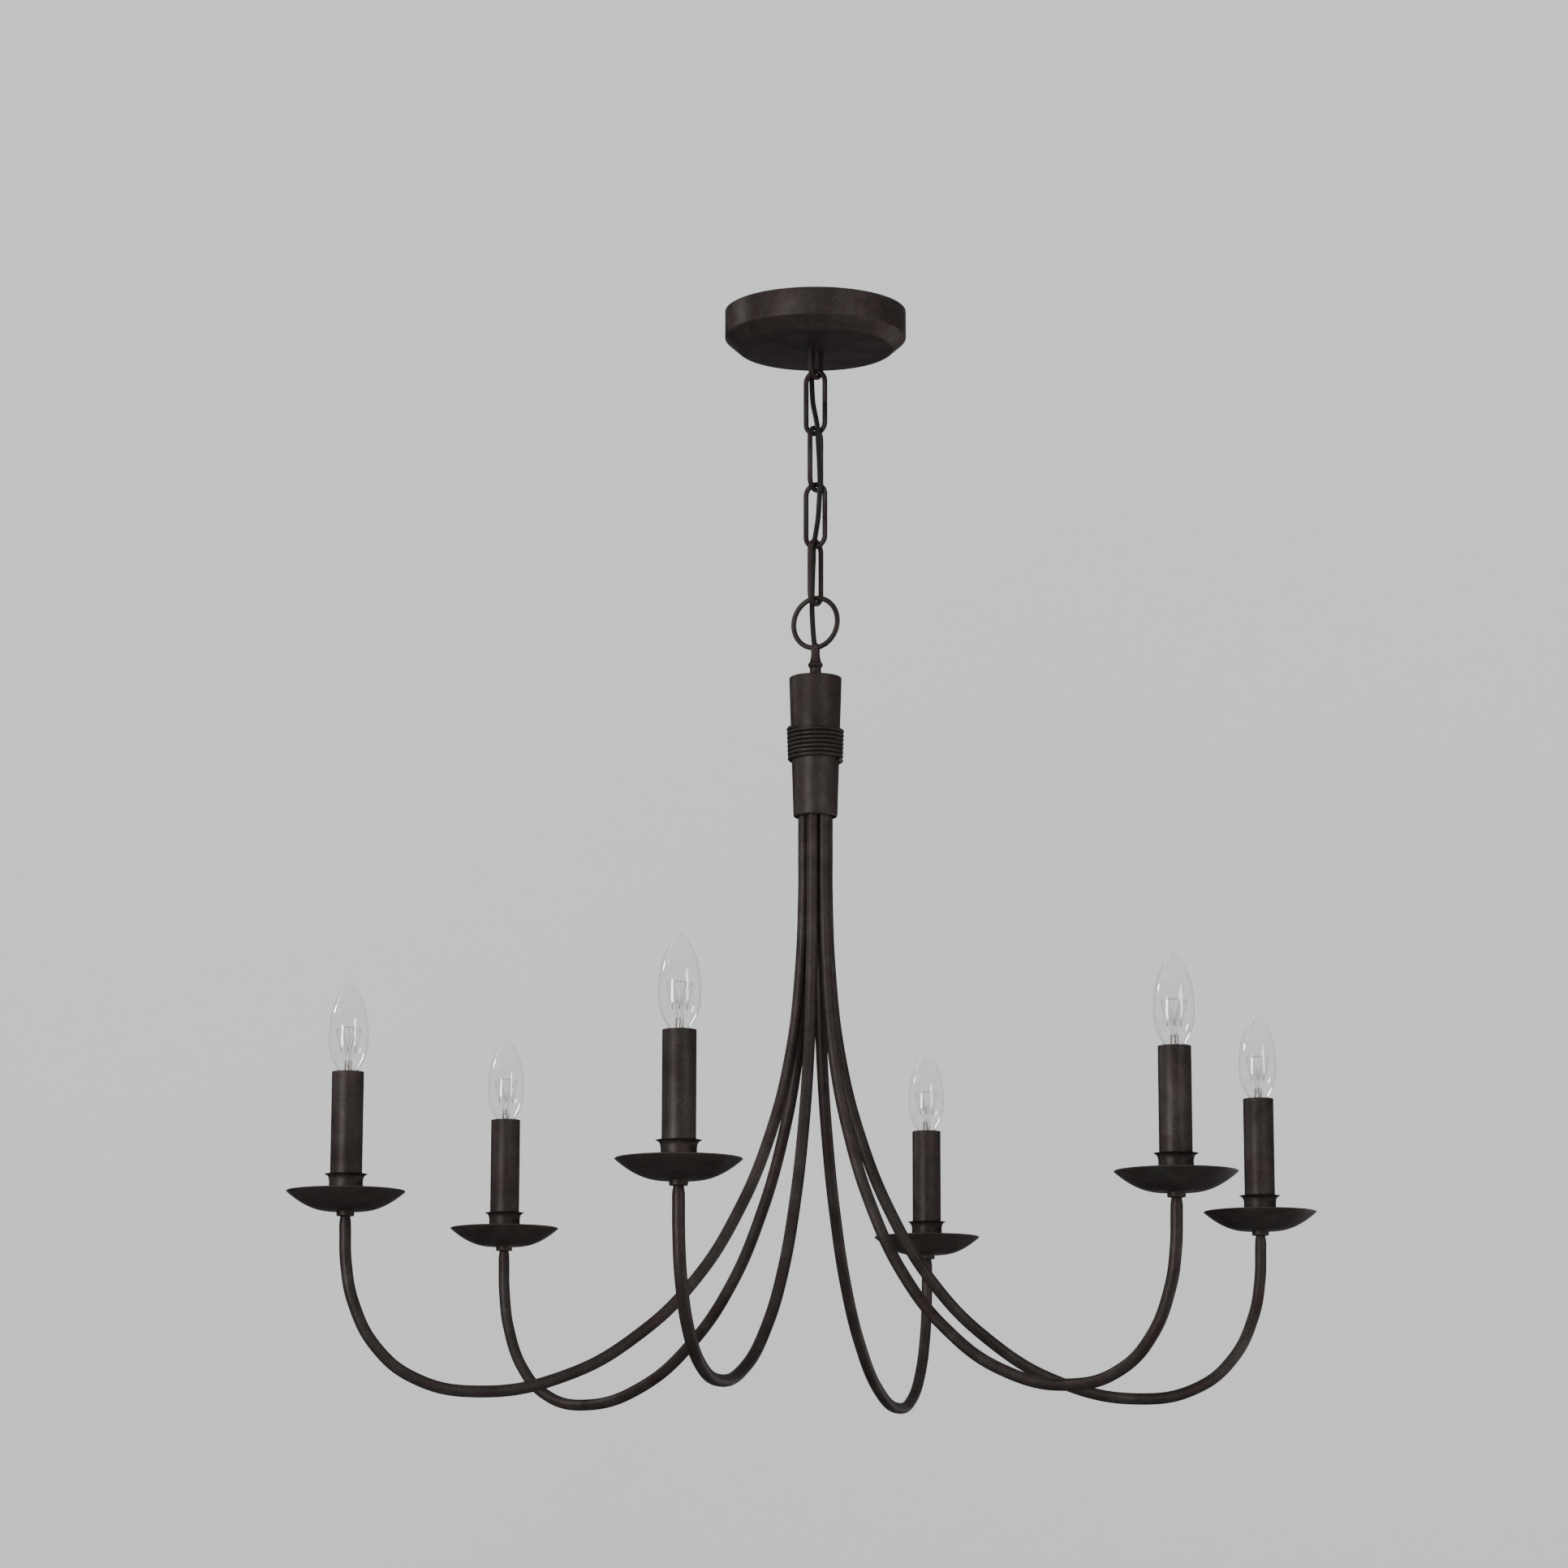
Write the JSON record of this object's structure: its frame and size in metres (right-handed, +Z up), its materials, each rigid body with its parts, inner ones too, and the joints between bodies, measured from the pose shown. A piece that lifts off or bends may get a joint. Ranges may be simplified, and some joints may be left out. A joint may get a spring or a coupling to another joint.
{
  "type": "multi arm chandelier",
  "caption": "Chain-hung candle chandelier: swept tube arms rise from a wire-bound hub to drip dishes, candle sleeves and clear torpedo lamps.",
  "frame": {"origin": "centre of the canopy's rim, on the ceiling", "axes": "+Z up out of the ceiling; the hanging ring and links 1 and 3 lie in the XZ plane, the canopy's loop and links 2 and 4 in YZ"},
  "size_m": [0.8366, 0.8366, 0.9093],
  "materials": {
    "dark_bronze": "satin, dark bronze lacquer with faint red-brown mottling",
    "plated_steel": "zinc plated",
    "socket_plastic": "moulded phenolic, matte",
    "lamp_nickel": "nickel plated, bright",
    "clear_glass": "clear, polished",
    "cord_jacket": "smooth black jacket, satin"
  },
  "bodies": {
    "canopy": {"canopy": "dark_bronze", "crossbar": "plated_steel", "canopy_loop": "dark_bronze", "loop_nut_1": "plated_steel", "loop_nut_2": "plated_steel", "supply_cord": "cord_jacket"},
    "link_1": {"chain_link_1": "dark_bronze"},
    "link_2": {"chain_link_2": "dark_bronze"},
    "link_3": {"chain_link_3": "dark_bronze"},
    "link_4": {"chain_link_4": "dark_bronze"},
    "ring": {"hanging_ring": "dark_bronze"},
    "fixture": {"eye_stem": "dark_bronze", "hub_sleeve": "dark_bronze", "hub_core": "plated_steel", "wire_wrap": "dark_bronze", "arm_1": "dark_bronze", "arm_2": "dark_bronze", "arm_3": "dark_bronze", "arm_4": "dark_bronze", "arm_5": "dark_bronze", "arm_6": "dark_bronze", "drip_dish_1": "dark_bronze", "drip_dish_2": "dark_bronze", "drip_dish_3": "dark_bronze", "drip_dish_4": "dark_bronze", "drip_dish_5": "dark_bronze", "drip_dish_6": "dark_bronze", "candle_cup_1": "dark_bronze", "candle_cup_2": "dark_bronze", "candle_cup_3": "dark_bronze", "candle_cup_4": "dark_bronze", "candle_cup_5": "dark_bronze", "candle_cup_6": "dark_bronze", "candle_sleeve_1": "dark_bronze", "candle_sleeve_2": "dark_bronze", "candle_sleeve_3": "dark_bronze", "candle_sleeve_4": "dark_bronze", "candle_sleeve_5": "dark_bronze", "candle_sleeve_6": "dark_bronze", "lamp_socket_1": "socket_plastic", "lamp_socket_2": "socket_plastic", "lamp_socket_3": "socket_plastic", "lamp_socket_4": "socket_plastic", "lamp_socket_5": "socket_plastic", "lamp_socket_6": "socket_plastic"},
    "lamp_1": {"bulb_glass_1": "clear_glass", "lamp_base_1": "lamp_nickel"},
    "lamp_2": {"bulb_glass_2": "clear_glass", "lamp_base_2": "lamp_nickel"},
    "lamp_3": {"bulb_glass_3": "clear_glass", "lamp_base_3": "lamp_nickel"},
    "lamp_4": {"bulb_glass_4": "clear_glass", "lamp_base_4": "lamp_nickel"},
    "lamp_5": {"bulb_glass_5": "clear_glass", "lamp_base_5": "lamp_nickel"},
    "lamp_6": {"bulb_glass_6": "clear_glass", "lamp_base_6": "lamp_nickel"}
  },
  "joints": [
    {"name": "link_1_swing", "type": "hinge", "parent": "canopy", "child": "link_1", "pos_m": [0, 0, -0.0564], "axis": [0, 1, 0], "range_deg": [-12, 12], "deforming": ["supply_cord"]},
    {"name": "link_2_swing", "type": "hinge", "parent": "link_1", "child": "link_2", "pos_m": [0, 0, -0.1051], "axis": [1, 0, 0], "range_deg": [-12, 12], "deforming": ["supply_cord"]},
    {"name": "link_3_swing", "type": "hinge", "parent": "link_2", "child": "link_3", "pos_m": [0, 0, -0.1538], "axis": [0, 1, 0], "range_deg": [-12, 12], "deforming": ["supply_cord"]},
    {"name": "link_4_swing", "type": "hinge", "parent": "link_3", "child": "link_4", "pos_m": [0, 0, -0.2025], "axis": [1, 0, 0], "range_deg": [-12, 12], "deforming": ["supply_cord"]},
    {"name": "ring_swing", "type": "hinge", "parent": "link_4", "child": "ring", "pos_m": [0, 0, -0.2512], "axis": [0, 1, 0], "range_deg": [-12, 12], "deforming": ["supply_cord"]},
    {"name": "hub_swing", "type": "hinge", "parent": "ring", "child": "fixture", "pos_m": [0, 0, -0.2885], "axis": [1, 0, 0], "range_deg": [-12, 12], "deforming": ["supply_cord"]},
    {"name": "lamp_1_lift", "type": "slide", "parent": "fixture", "child": "lamp_1", "axis": [0, 0, 1], "range_m": [0, 0.03]},
    {"name": "lamp_2_lift", "type": "slide", "parent": "fixture", "child": "lamp_2", "axis": [0, 0, 1], "range_m": [0, 0.03]},
    {"name": "lamp_3_lift", "type": "slide", "parent": "fixture", "child": "lamp_3", "axis": [0, 0, 1], "range_m": [0, 0.03]},
    {"name": "lamp_4_lift", "type": "slide", "parent": "fixture", "child": "lamp_4", "axis": [0, 0, 1], "range_m": [0, 0.03]},
    {"name": "lamp_5_lift", "type": "slide", "parent": "fixture", "child": "lamp_5", "axis": [0, 0, 1], "range_m": [0, 0.03]},
    {"name": "lamp_6_lift", "type": "slide", "parent": "fixture", "child": "lamp_6", "axis": [0, 0, 1], "range_m": [0, 0.03]}
  ]
}
